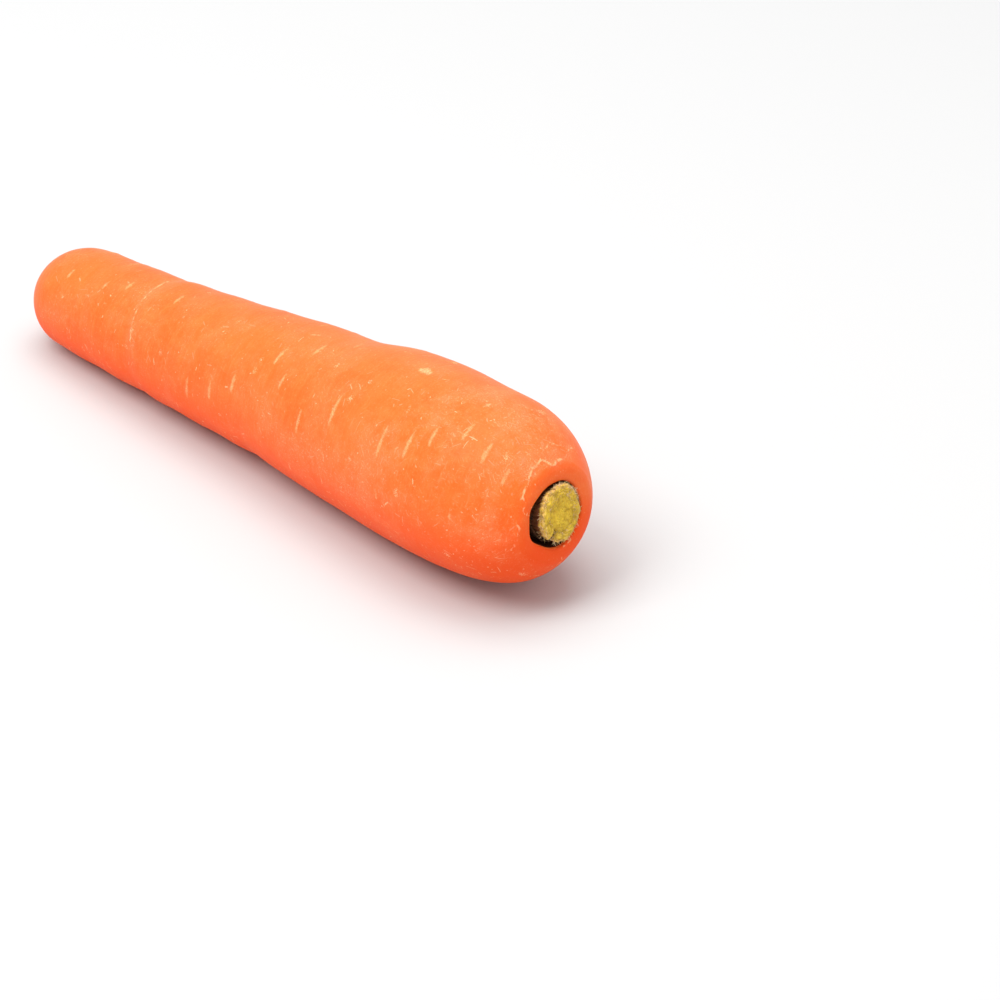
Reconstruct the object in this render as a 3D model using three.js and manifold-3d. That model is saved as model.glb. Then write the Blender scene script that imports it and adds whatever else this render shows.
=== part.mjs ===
// A topped carrot that lies on its side, in millimetres with +Z up. X runs along the root
// from the tip to the crown. The origin is on the surface that the carrot lies on, under
// the middle of its box.
// It has three pieces: the orange taproot with the hollow of its crown, the stub of cut
// leaf stalks that stands in the hollow, and the torn cup of dry leaf bases round the stub.
import * as THREE from "three";
import { mergeVertices } from "three/addons/utils/BufferGeometryUtils.js";
import Module from "manifold-3d";

const wasm = await Module();
wasm.setup();

// Driving dimensions of the taproot. The two lists are read at even steps from the tip
// to SHOULDER_END: the radius, and how far the axis sways towards +Y.
const SHOULDER_END = 195; // where the curve of the shoulder would close
const GIRTH = [12.6, 13.8, 14.6, 15.5, 16.5, 17.6, 18.9, 20.4, 22.1, 23, 22.8, 22.1, 22];
const SWAY = [-1.3, -1.3, -1.6, -1.6, -1.4, -0.9, -0.4, -0.6, -0.1, -0.6, -1.5, -1, -0.8];
const TIP_CAP = 14; // length of the round of the tip
const SHOULDER_CAP = 26; // length of the round of the shoulder
const CAP_FULLNESS = 2.2; // 2 is an ellipse, and more is squarer
const SEGMENTS = 56; // faces round the root
const BODY_STEPS = 32; // rings between the two caps
const CAP_STEPS = 7;
const REST_HEIGHT = 12.25; // height of the axis at the tip
const REST_SLOPE = 0.0735; // how the axis rises towards the thicker end
const SCAR_DEPTH = 0.35;
const SCATTERED_SCARS = 24;

// Driving dimensions of the crown. Depths are measured back from SHOULDER_END.
const COLLAR_RADIUS = 12.6; // where the shoulder flattens into the collar
const RIM_RADIUS = 8.15;
const RIM_DEPTH = 3;
const FLOOR_RADIUS = 7.85;
const FLOOR_DEPTH = 9;
const FACE_TILT_UP = 0.111; // how the face of the crown leans back from the upright
const FACE_TILT_SIDE = 0.052;
const FACE_DROP = 0.6; // how far the hollow sits below the axis
const GAP = 0.3; // clear space between neighbouring pieces

// Driving dimensions of the stub of leaf stalks. It grows taller in section above the cup
// and leans upwards.
const STUB_RADIUS = 6.1; // at its foot
const STUB_HEIGHT = 7.4;
const STUB_SPREAD = 0.17; // how much taller than wide the cut face is, as a share
const LEAN_SIDE = 0.35; // how far the cut face stands off centre, towards +Y and upwards
const LEAN_UP = 0.7;
const CLEFT_DEPTH = 1.8; // how deep the clefts between the stalks are
const OUTER_STALKS = 5;
const INNER_STALKS = 3;
const FIRST_STALK = 225; // degrees round from +Y

// Driving dimensions of the cup of dry leaf bases.
const CUP_RADIUS = 6.45; // inside, at its foot
const CUP_WALL = 0.85;
const CUP_FLARE = 0.3;
const CUP_HEIGHT = 3.5;
const CUP_SEGMENTS = 72;

const DEGREES = Math.PI / 180;

// Seeded numbers from 0 to 1, the same in every run.
function seeded(seed) {
  let state = seed;
  return () => {
    state = (state * 1664525 + 1013904223) % 4294967296;
    return state / 4294967296;
  };
}

// A smooth bump, 1 at its middle and near 0 beyond twice its reach.
function bump(distance, reach) {
  return Math.exp(-((distance / reach) ** 2));
}

// The shortest way round to an angle from another, in radians.
function turn(angle, from) {
  return Math.atan2(Math.sin(angle - from), Math.cos(angle - from));
}

// A value between the evenly spaced ones of a list, on a curve through them all.
function along(list, x) {
  const place = THREE.MathUtils.clamp(x / SHOULDER_END, 0, 1) * (list.length - 1);
  const i = Math.min(Math.floor(place), list.length - 2);
  const t = place - i;
  const before = list[Math.max(i - 1, 0)];
  const after = list[Math.min(i + 2, list.length - 1)];
  const rise = list[i + 1] - list[i];
  const start = (list[i + 1] - before) / 2;
  const end = (after - list[i]) / 2;
  const bend = 3 * rise - 2 * start - end;
  return list[i] + start * t + bend * t ** 2 + (start + end - 2 * rise) * t ** 3;
}

// A point beside the root's axis. The angle is 0 on the +Y side and 90 degrees on top.
function besideAxis(x, radius, angle, target = new THREE.Vector3()) {
  const side = radius * Math.cos(angle);
  const lift = radius * Math.sin(angle);
  const tilt = THREE.MathUtils.smoothstep(x, SHOULDER_END - 60, SHOULDER_END - 10);
  const drop = THREE.MathUtils.smoothstep(x, SHOULDER_END - 26, SHOULDER_END - 4);
  return target.set(
    x - tilt * (FACE_TILT_UP * lift + FACE_TILT_SIDE * side),
    along(SWAY, x) + side,
    REST_HEIGHT + REST_SLOPE * x + lift - FACE_DROP * drop,
  );
}

// Turns an outline of radius against distance along, and gives each point its place.
function turned(outline, segments, shape) {
  const points = outline.map(([radius, x]) => new THREE.Vector2(radius, x));
  const geometry = new THREE.LatheGeometry(points, segments);
  const position = geometry.getAttribute("position");
  const point = new THREE.Vector3();
  for (let i = 0; i < position.count; i++) {
    point.fromBufferAttribute(position, i);
    const form = shape(point.y, Math.hypot(point.x, point.z), Math.atan2(point.x, point.z));
    besideAxis(form.x, form.radius, form.angle, point);
    position.setXYZ(i, point.x, point.y, point.z);
  }
  return solidOf(geometry);
}

function solidOf(geometry) {
  geometry.deleteAttribute("normal");
  geometry.deleteAttribute("uv");
  const merged = mergeVertices(geometry, 1e-4);
  return new wasm.Manifold(
    new wasm.Mesh({
      numProp: 3,
      vertProperties: merged.getAttribute("position").array,
      triVerts: new Uint32Array(merged.index.array),
    }),
  );
}

function geometryOf(solid) {
  const { vertProperties, triVerts } = solid.getMesh();
  const shared = new THREE.BufferGeometry();
  shared.setAttribute("position", new THREE.BufferAttribute(vertProperties, 3));
  shared.setIndex(new THREE.BufferAttribute(triVerts, 1));
  const faceted = shared.toNonIndexed();
  faceted.computeVertexNormals();
  return faceted;
}

// The taproot.

function capShare(depth, cap) {
  const share = THREE.MathUtils.clamp((cap - depth) / cap, 0, 1);
  return (1 - share ** CAP_FULLNESS) ** (1 / CAP_FULLNESS);
}

function radiusAt(x) {
  const caps = capShare(x, TIP_CAP) * capShare(SHOULDER_END - x, SHOULDER_CAP);
  return along(GIRTH, x) * caps;
}

// Height of the skin above the round form: an uneven section, a girdle where growth
// slowed, faint wrinkles near the tip and two shallow dents.
function relief(x, angle) {
  const section = 0.15 * Math.cos(2 * angle + x / 45) + 0.1 * Math.cos(5 * angle + x / 70);
  const girdle = -0.35 * bump(x - 49 + 3 * Math.sin(angle), 3);
  const wrinkles = 0.1 * Math.sin(x / 2.6 + 1.5 * Math.sin(angle)) * bump(x - 50, 45);
  const topDent = -0.8 * bump(x - 117, 9) * bump(turn(angle, 60 * DEGREES), 0.9);
  const lowDent = -0.4 * bump(x - 95, 4) * bump(turn(angle, 227 * DEGREES), 0.3);
  return section + girdle + wrinkles + topDent + lowDent;
}

// Half the root's section: the scar of the thin tail, the body, the shoulder, the collar
// and the hollow of the crown.
function rootOutline() {
  const outline = [
    [0, -0.5],
    [1, -0.45],
    [1.5, 0.05],
  ];
  const addRing = (x) => outline.push([radiusAt(x), x]);
  for (let i = 1; i <= CAP_STEPS; i++) {
    addRing(TIP_CAP * Math.sin((i / CAP_STEPS) * 90 * DEGREES) ** 2);
  }
  const body = SHOULDER_END - TIP_CAP - SHOULDER_CAP;
  for (let i = 1; i <= BODY_STEPS; i++) {
    addRing(TIP_CAP + (body * i) / BODY_STEPS);
  }
  for (let i = 1; i <= 2 * CAP_STEPS; i++) {
    const x = SHOULDER_END - SHOULDER_CAP * (1 - i / (2 * CAP_STEPS));
    if (radiusAt(x) > COLLAR_RADIUS + 1) addRing(x);
  }
  const crown = [
    [COLLAR_RADIUS, 3.7],
    [11.4, 3.2],
    [10, 3],
    [RIM_RADIUS + 0.6, RIM_DEPTH],
    [RIM_RADIUS + 0.2, RIM_DEPTH + 0.2],
    [RIM_RADIUS, RIM_DEPTH + 0.7],
    [RIM_RADIUS - 0.1, RIM_DEPTH + 1.8],
    [FLOOR_RADIUS, FLOOR_DEPTH - 0.6],
    [FLOOR_RADIUS - 0.6, FLOOR_DEPTH],
    [0, FLOOR_DEPTH],
  ];
  crown.forEach(([radius, depth]) => outline.push([radius, SHOULDER_END - depth]));
  return outline;
}

// A spindle that lies across the root in its skin. Cut away, it leaves one of the
// shallow scars where side roots and pores were.
function scarCutter({ place, around, length, width }) {
  const stations = 6;
  const proud = 0.5;
  const half = length / 2 / radiusAt(place);
  const section = [
    [-1, proud],
    [-1, 0.04],
    [-0.35, -SCAR_DEPTH],
    [0.35, -SCAR_DEPTH],
    [1, 0.04],
    [1, proud],
  ];
  const at = (share, shift, lift) => {
    const angle = around * DEGREES + share * half;
    const x = place + shift;
    return besideAxis(x, radiusAt(x) + relief(x, angle) + lift, angle).toArray();
  };
  const points = [at(-1, 0, proud / 2)];
  for (let i = 1; i < stations; i++) {
    const share = (2 * i) / stations - 1;
    const swell = 1 - share ** 2;
    const reach = (width / 2) * (0.35 + 0.65 * swell);
    section.forEach(([shift, lift]) =>
      points.push(at(share, shift * reach, lift < 0 ? lift * swell : lift)),
    );
  }
  points.push(at(1, 0, proud / 2));
  const sides = section.length;
  const last = points.length - 1;
  const index = [];
  for (let side = 0; side < sides; side++) {
    const next = (side + 1) % sides;
    index.push(0, 1 + next, 1 + side);
    index.push(last, last - sides + side, last - sides + next);
    for (let ring = 1; ring < last - sides; ring += sides) {
      const beyond = ring + sides;
      index.push(ring + side, ring + next, beyond + next);
      index.push(ring + side, beyond + next, beyond + side);
    }
  }
  const geometry = new THREE.BufferGeometry();
  geometry.setAttribute("position", new THREE.Float32BufferAttribute(points.flat(), 3));
  geometry.setIndex(index);
  return solidOf(geometry);
}

// The larger scars lie on the -Y side and on top: distance from the tip, degrees round
// from +Y, and length. Others are scattered over the +Y side.
function scars() {
  const larger = [
    [18, 124, 3],
    [39, 110, 3.2],
    [57, 105, 3.5],
    [84, 169, 4.5],
    [92, 155, 5],
    [103, 122, 5],
    [109, 138, 4.2],
    [112, 106, 5],
    [120, 158, 6],
    [131, 142, 8.2],
    [151, 146, 8.6],
    [160, 140, 7.6],
    [166, 130, 5.4],
    [174, 118, 5.4],
    [181, 123, 5],
  ].map(([place, around, length]) => ({ place, around, length, width: 1.2 }));
  const random = seeded(7);
  const scattered = Array.from({ length: SCATTERED_SCARS }, (_, i) => ({
    place: 16 + (164 * (i + random())) / SCATTERED_SCARS,
    around: 290 + 140 * random(),
    length: 3 + 5.5 * random(),
    width: 0.9 + 0.5 * random(),
  }));
  return [...larger, ...scattered];
}

function makeTaproot() {
  const skin = turned(rootOutline(), SEGMENTS, (x, radius, angle) => {
    const inHollow = x > SHOULDER_END / 2 && radius < RIM_RADIUS + 0.3;
    const nearCrown = THREE.MathUtils.smoothstep(x, SHOULDER_END - 12, SHOULDER_END - 5);
    const nearTip = 1 - THREE.MathUtils.smoothstep(x, 0, TIP_CAP);
    const lift = relief(x, angle) * (1 - 0.7 * nearCrown) * (1 - nearTip);
    const corners = 0.15 * Math.cos(5 * angle + 1) * Math.min(radius / FLOOR_RADIUS, 1);
    return { x, radius: radius + (inHollow ? corners : lift), angle };
  });
  const below = new THREE.BoxGeometry(3 * SHOULDER_END, SHOULDER_END, 20);
  const cuts = [solidOf(below.translate(0, 0, -10)), ...scars().map(scarCutter)];
  return geometryOf(cuts.reduce((root, cut) => root.subtract(cut), skin));
}

// The stub of leaf stalks.

// A point of the stub, by its height above the stub's foot.
function inStub(height, radius, angle) {
  const high = 1 + STUB_SPREAD * THREE.MathUtils.smoothstep(height, 3.4, 6.4);
  const lean = THREE.MathUtils.smoothstep(height, 2.5, STUB_HEIGHT);
  const y = radius * Math.cos(angle) + LEAN_SIDE * lean;
  const z = radius * high * Math.sin(angle) + LEAN_UP * lean;
  const x = SHOULDER_END - FLOOR_DEPTH + GAP + height;
  return { x, radius: Math.hypot(y, z), angle: Math.atan2(z, y) };
}

// One cut stalk: a crescent in section, with its face cut at a slope.
function stalk({ around, outer, thick, spread, height, slope }) {
  const steps = 8;
  const section = new THREE.Shape();
  const arc = (i, inner) => {
    const share = (2 * i) / steps - 1;
    const hollow = inner ? thick * (1 - 0.45 * share ** 2) : 0.3 * share ** 4;
    const angle = share * spread;
    return [(outer - hollow) * Math.cos(angle), (outer - hollow) * Math.sin(angle)];
  };
  section.moveTo(...arc(0, false));
  for (let i = 1; i <= steps; i++) section.lineTo(...arc(i, false));
  for (let i = steps; i >= 0; i--) section.lineTo(...arc(i, true));
  section.closePath();
  const foot = STUB_HEIGHT - CLEFT_DEPTH - 1;
  const geometry = new THREE.ExtrudeGeometry(section, {
    depth: height - foot,
    steps: 3,
    bevelEnabled: false,
  });
  const position = geometry.getAttribute("position");
  const point = new THREE.Vector3();
  for (let i = 0; i < position.count; i++) {
    point.fromBufferAttribute(position, i);
    const share = point.z / (height - foot);
    const chopped = 0.12 * Math.sin(3.1 * point.x + around) * Math.cos(2.7 * point.y);
    const rise = (slope * (point.x - outer + thick) + chopped) * share;
    const angle = Math.atan2(point.y, point.x) + around;
    const form = inStub(foot + point.z + rise, Math.hypot(point.x, point.y), angle);
    besideAxis(form.x, form.radius, form.angle, point);
    position.setXYZ(i, point.x, point.y, point.z);
  }
  return solidOf(geometry);
}

function makeStub() {
  const random = seeded(23);
  const shoulder = STUB_HEIGHT - CLEFT_DEPTH;
  const plug = turned(
    [
      [0, 0],
      [STUB_RADIUS - 0.5, 0],
      [STUB_RADIUS - 0.2, 0.5],
      [STUB_RADIUS - 0.1, 4.4],
      [STUB_RADIUS - 0.15, shoulder - 0.4],
      [STUB_RADIUS - 0.5, shoulder],
      [1.9, shoulder + 0.3],
      [1.5, STUB_HEIGHT - 0.4],
      [0.8, STUB_HEIGHT - 0.1],
      [0, STUB_HEIGHT],
    ],
    32,
    inStub,
  );
  const stalks = [
    { count: OUTER_STALKS, outer: STUB_RADIUS, thick: 2.2, cover: 0.95, drop: 0.4 },
    { count: INNER_STALKS, outer: 3.85, thick: 1.8, cover: 0.92, drop: 0 },
  ].flatMap(({ count, outer, thick, cover, drop }) =>
    Array.from({ length: count }, (_, i) => ({
      around: FIRST_STALK * DEGREES + (2 * Math.PI * (i + 0.2 * random())) / count,
      outer,
      thick,
      spread: (cover * Math.PI) / count,
      height: STUB_HEIGHT - drop - 0.5 * random(),
      slope: 0.14 * (random() - 0.7),
    })),
  );
  return geometryOf(stalks.reduce((stub, each) => stub.add(stalk(each)), plug));
}

// The cup of dry leaf bases, with its torn edge.
function makeCup() {
  const foot = SHOULDER_END - FLOOR_DEPTH + GAP;
  const middle = CUP_FLARE / 2;
  const outline = [
    [CUP_RADIUS, 0],
    [CUP_RADIUS + CUP_WALL, 0],
    [CUP_RADIUS + CUP_WALL + middle, 0.5],
    [CUP_RADIUS + CUP_WALL + CUP_FLARE, 1],
    [CUP_RADIUS + CUP_FLARE + 0.1, 1],
    [CUP_RADIUS + middle, 0.5],
    [CUP_RADIUS, 0],
  ];
  return geometryOf(
    turned(outline, CUP_SEGMENTS, (share, radius, angle) => {
      const tall = 1.2 * bump(turn(angle, 215 * DEGREES), 0.6);
      const torn = 0.35 * Math.sin(9 * angle + 2) + 0.3 * Math.sin(17 * angle);
      return { x: foot + share * (CUP_HEIGHT + tall + torn), radius, angle };
    }),
  );
}

const pieces = {
  taproot: [makeTaproot(), { color: 0xee7834, roughness: 0.42 }],
  leaf_stalk_stub: [makeStub(), { color: 0xb8ac50, roughness: 0.75 }],
  dry_leaf_cup: [makeCup(), { color: 0x7b5431, roughness: 0.85 }],
};

const carrot = new THREE.Group();
Object.entries(pieces).forEach(([name, [geometry, look]]) => {
  const mesh = new THREE.Mesh(
    geometry,
    new THREE.MeshStandardMaterial({ ...look, metalness: 0 }),
  );
  mesh.name = name;
  carrot.add(mesh);
});

// The origin goes to the middle of the box's underside.
const box = new THREE.Box3().setFromObject(carrot);
const middle = box.getCenter(new THREE.Vector3());
carrot.children.forEach((mesh) => mesh.geometry.translate(-middle.x, -middle.y, -box.min.z));

export default carrot;
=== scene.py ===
import math

import bpy
import numpy as np
from mathutils import Matrix, Vector, noise


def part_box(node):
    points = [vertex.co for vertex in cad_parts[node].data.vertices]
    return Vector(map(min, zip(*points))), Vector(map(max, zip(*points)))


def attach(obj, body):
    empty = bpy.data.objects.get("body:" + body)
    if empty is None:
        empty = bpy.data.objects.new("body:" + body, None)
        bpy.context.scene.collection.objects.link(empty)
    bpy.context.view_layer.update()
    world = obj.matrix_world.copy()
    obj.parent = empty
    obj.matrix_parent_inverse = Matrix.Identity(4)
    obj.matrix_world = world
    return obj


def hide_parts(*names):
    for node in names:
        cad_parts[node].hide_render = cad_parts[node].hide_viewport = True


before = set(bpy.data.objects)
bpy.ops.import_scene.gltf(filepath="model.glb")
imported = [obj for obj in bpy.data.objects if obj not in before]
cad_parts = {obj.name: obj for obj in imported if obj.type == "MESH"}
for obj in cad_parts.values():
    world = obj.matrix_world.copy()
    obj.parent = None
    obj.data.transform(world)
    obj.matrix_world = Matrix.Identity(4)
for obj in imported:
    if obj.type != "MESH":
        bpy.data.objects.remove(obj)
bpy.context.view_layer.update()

# The taproot. One grown body of carrot flesh under a thin skin, with a blunt tip, the scar
# of the tail, faint girdles, a round shoulder and the hollow of the crown. It was topped
# and washed. Nothing is fixed to it: all the other pieces grow out of it.
MM = 0.001
SHOULDER_END = 195  # all root sizes in millimetres, places measured from the tip
GIRTH = [12.6, 13.8, 14.6, 15.5, 16.5, 17.6, 18.9, 20.4, 22.1, 23, 22.8, 22.1, 22]
SWAY = [-1.3, -1.3, -1.6, -1.6, -1.4, -0.9, -0.4, -0.6, -0.1, -0.6, -1.5, -1, -0.8]
TIP_CAP = 14
SHOULDER_CAP = 26
CAP_FULLNESS = 2.2
COLLAR_RADIUS = 12.6
RIM_RADIUS = 8.15
FLOOR_RADIUS = 7.85
FLOOR_DEPTH = 9
TILT_FROM, TILT_TO = SHOULDER_END - 60.0, SHOULDER_END - 10.0  # where the face tilts back
DROP_FROM, DROP_TO = SHOULDER_END - 26.0, SHOULDER_END - 4.0  # and where it drops
TOP_DENT = (117.0, 60, 9.0, 0.9)  # place, degrees round from +Y, reach along and round
LOW_DENT = (95.0, 227, 4.0, 0.3)
ROOT_SIZES = {
    "Segments": 208,
    "Rest height": 12.25,
    "Rest slope": 0.0735,
    "Face tilt up": 0.111,
    "Face tilt side": 0.052,
    "Face drop": 0.6,
    "Uneven section": 0.15,
    "Girdle place": 49.0,
    "Girdle depth": 0.35,
    "Wrinkle height": 0.1,
    "Wrinkle spacing": 16.3,
    "Top dent": 0.8,
    "Low dent": 0.4,
    "Swelling": 0.07,
    "Fine creases": 0.06,
    "Wider hollow": 0.95,
    "Wider towards": 176.0,
    "Squared side": 0.3,
    "Seed": 4.0,
}


def bump(distance, reach):
    """A smooth bump, 1 at its middle and near 0 beyond twice its reach."""
    return np.exp(-((distance / reach) ** 2))


def turn(angle, start):
    """The shortest way round to an angle from another, in radians."""
    return np.arctan2(np.sin(angle - start), np.cos(angle - start))


def smoothstep(value, low, high):
    share = np.clip((value - low) / (high - low), 0, 1)
    return share * share * (3 - 2 * share)


def along(values, x):
    """A value between the evenly spaced ones of a list, on a curve through them all."""
    place = min(max(x / SHOULDER_END, 0), 1) * (len(values) - 1)
    i = min(int(place), len(values) - 2)
    t = place - i
    before = values[max(i - 1, 0)]
    after = values[min(i + 2, len(values) - 1)]
    rise = values[i + 1] - values[i]
    start = (values[i + 1] - before) / 2
    end = (after - values[i]) / 2
    bend = 3 * rise - 2 * start - end
    return values[i] + start * t + bend * t**2 + (start + end - 2 * rise) * t**3


def cap_share(depth, cap):
    share = min(max((cap - depth) / cap, 0), 1)
    return (1 - share**CAP_FULLNESS) ** (1 / CAP_FULLNESS)


def radius_at(x):
    caps = cap_share(x, TIP_CAP) * cap_share(SHOULDER_END - x, SHOULDER_CAP)
    return along(GIRTH, x) * caps


def run_lengths(points):
    """How far along a line each of its points is."""
    return np.concatenate([[0], np.cumsum(np.hypot(*np.diff(points, axis=0).T))])


def evenly(points, step):
    """The same line with its points a step apart."""
    points = np.array(points, float)
    lengths = run_lengths(points)
    stations = np.linspace(0, lengths[-1], max(int(lengths[-1] / step), 1) + 1)
    return np.column_stack([np.interp(stations, lengths, part) for part in points.T])


def root_outline():
    """Half the root's section, as radius and place: tail scar, body, shoulder and hollow."""
    tail = [(0, -0.5), (1, -0.45), (1.5, 0.05)]
    tip = [TIP_CAP * math.sin(i / 160 * math.pi / 2) ** 2 for i in range(1, 161)]
    tip = [(radius_at(x), x) for x in tip if radius_at(x) > 1.7]
    body = [(radius_at(x), x) for x in np.arange(TIP_CAP, SHOULDER_END - SHOULDER_CAP, 0.5)]
    shoulder = np.linspace(SHOULDER_END - SHOULDER_CAP, SHOULDER_END, 400)
    shoulder = [(radius_at(x), x) for x in shoulder if radius_at(x) > COLLAR_RADIUS + 0.5]
    crown = [
        (COLLAR_RADIUS, 3.7),
        (11.4, 3.2),
        (10, 3),
        (RIM_RADIUS + 0.6, 3),
        (RIM_RADIUS + 0.2, 3.2),
        (RIM_RADIUS, 3.7),
        (RIM_RADIUS - 0.1, 4.8),
        (FLOOR_RADIUS, FLOOR_DEPTH - 0.6),
        (FLOOR_RADIUS - 0.6, FLOOR_DEPTH),
        (0, FLOOR_DEPTH),
    ]
    crown = [shoulder[-1]] + [(radius, SHOULDER_END - depth) for radius, depth in crown]
    collar = evenly(crown[:4], 0.4)
    rim = evenly(crown[3:8], 0.22)
    well = evenly(crown[7:], 0.6)
    return np.vstack(
        [evenly(tail, 0.4)[:-1], evenly(tip, 0.45)[:-1], body, evenly(shoulder, 0.45)[:-1],
         collar[:-1], rim[:-1], well]
    )


class Field:
    """A value that a node tree works out at each point, so that its sums read as sums."""

    def __init__(self, tree, socket):
        self.tree = tree
        self.socket = socket

    def math(self, operation, *values):
        node = self.tree.nodes.new("ShaderNodeMath")
        node.operation = operation
        for socket, value in zip(node.inputs, (self,) + values):
            feed(self.tree, value, socket)
        return Field(self.tree, node.outputs[0])

    def __add__(self, other):
        return self.math("ADD", other)

    def __sub__(self, other):
        return self.math("SUBTRACT", other)

    def __mul__(self, other):
        return self.math("MULTIPLY", other)

    def __truediv__(self, other):
        return self.math("DIVIDE", other)

    def __neg__(self):
        return self.math("MULTIPLY", -1.0)

    def __rsub__(self, other):
        return -self + other

    def __rtruediv__(self, other):
        return self.math("POWER", -1.0) * other

    __radd__ = __add__
    __rmul__ = __mul__

    def sine(self):
        return self.math("SINE")

    def cosine(self):
        return self.math("COSINE")

    def bump(self, reach):
        return (-(self / reach).math("POWER", 2.0)).math("EXPONENT")

    def turned_from(self, angle):
        away = self - angle
        return away.sine().math("ARCTAN2", away.cosine())

    def between(self, low, high, first=0.0, last=1.0, smooth=True):
        """Runs from first to last while the value runs from low to high."""
        node = self.tree.nodes.new("ShaderNodeMapRange")
        node.interpolation_type = "SMOOTHSTEP" if smooth else "LINEAR"
        for name, value in {
            "Value": self,
            "From Min": low,
            "From Max": high,
            "To Min": first,
            "To Max": last,
        }.items():
            feed(self.tree, value, node.inputs[name])
        return Field(self.tree, node.outputs[0])


def feed(tree, value, socket):
    """Gives a socket its value, or links it to a field or to another socket."""
    if isinstance(value, Field):
        tree.links.new(value.socket, socket)
    elif isinstance(value, bpy.types.NodeSocket):
        tree.links.new(value, socket)
    elif socket.type == "VECTOR" and isinstance(value, float):
        socket.default_value = (value, value, value)
    else:
        socket.default_value = value


def add_node(tree, kind, feeds=None, **options):
    """Adds a node with its options set and its named inputs fed."""
    node = tree.nodes.new(kind)
    for name, value in options.items():
        setattr(node, name, value)
    for name, value in (feeds or {}).items():
        feed(tree, value, node.inputs[name])
    return node


def moved_to(tree, geometry, position):
    """The same geometry with its points at other places."""
    feeds = {"Geometry": geometry, "Position": position}
    return add_node(tree, "GeometryNodeSetPosition", feeds).outputs[0]


def with_number(tree, geometry, name, value):
    """The same geometry with a number kept at its points."""
    feeds = {"Geometry": geometry, "Name": name, "Value": value}
    node = add_node(
        tree, "GeometryNodeStoreNamedAttribute", feeds, data_type="FLOAT", domain="POINT"
    )
    return node.outputs[0]


def merged(tree, geometry, distance):
    feeds = {"Geometry": geometry, "Distance": distance}
    return add_node(tree, "GeometryNodeMergeByDistance", feeds).outputs[0]


def share_along(tree):
    """How far each point of a curve is along it, from 0 to 1."""
    return Field(tree, tree.nodes.new("GeometryNodeSplineParameter").outputs["Factor"])


def add_object(name, data):
    made = bpy.data.objects.new(name, data)
    bpy.context.scene.collection.objects.link(made)
    return made


def new_growth(name, sizes):
    """A Geometry Nodes tree with one named input for each size, and those inputs."""
    tree = bpy.data.node_groups.new(name, "GeometryNodeTree")
    tree.interface.new_socket("Geometry", in_out="INPUT", socket_type="NodeSocketGeometry")
    tree.interface.new_socket("Geometry", in_out="OUTPUT", socket_type="NodeSocketGeometry")
    for label, value in sizes.items():
        kind = "NodeSocketInt" if isinstance(value, int) else "NodeSocketFloat"
        tree.interface.new_socket(label, in_out="INPUT", socket_type=kind)
    inputs = tree.nodes.new("NodeGroupInput")
    return tree, inputs.outputs["Geometry"], {
        label: Field(tree, inputs.outputs[label]) for label in sizes
    }


def finish_growth(tree, geometry, material, scale=MM):
    """Ends a tree with real faces, at full size in metres, in their material."""
    scaled = add_node(
        tree,
        "GeometryNodeTransform",
        {"Geometry": geometry, "Scale": (scale, scale, scale)},
    )
    real = add_node(tree, "GeometryNodeRealizeInstances", {"Geometry": scaled.outputs[0]})
    dressed = add_node(
        tree, "GeometryNodeSetMaterial", {"Geometry": real.outputs[0], "Material": material}
    )
    output = tree.nodes.new("NodeGroupOutput")
    tree.links.new(dressed.outputs[0], output.inputs["Geometry"])


def grow(name, start, tree, sizes):
    """Runs a tree on a mesh with its sizes set, and keeps the result as a plain mesh."""
    piece = add_object(name, start)
    modifier = piece.modifiers.new("growth", "NODES")
    modifier.node_group = tree
    for item in tree.interface.items_tree:
        if item.in_out == "INPUT" and item.name in sizes:
            modifier[item.identifier] = sizes[item.name]
    graph = bpy.context.evaluated_depsgraph_get()
    grown = bpy.data.meshes.new_from_object(
        piece.evaluated_get(graph), preserve_all_data_layers=True, depsgraph=graph
    )
    piece.modifiers.remove(modifier)
    piece.data = grown
    grown.name = name
    return piece


def attribute(tree, name):
    """A number kept at the points of the mesh that a geometry tree works on."""
    node = add_node(
        tree, "GeometryNodeInputNamedAttribute", {"Name": name}, data_type="FLOAT"
    )
    return Field(tree, node.outputs["Attribute"])


def noise_field(tree, vector, scale, seed=0.0, detail=2.0, roughness=0.5):
    """Soft noise about 0.5, by position."""
    moved = tree.nodes.new("ShaderNodeVectorMath")
    feed(tree, vector, moved.inputs[0])
    feed(tree, seed * 0.37, moved.inputs[1])
    node = add_node(
        tree,
        "ShaderNodeTexNoise",
        {"Vector": moved.outputs[0], "Scale": scale, "Detail": detail,
         "Roughness": roughness},
    )
    return Field(tree, node.outputs[0])


def triple(tree, x, y, z):
    node = add_node(tree, "ShaderNodeCombineXYZ", {"X": x, "Y": y, "Z": z})
    return node.outputs[0]


def dent(place, around, at):
    """A shallow dent in the skin, from its place, direction and reach."""
    middle, degrees, reach, spread = at
    return (place - middle).bump(reach) * around.turned_from(math.radians(degrees)).bump(spread)


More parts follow.
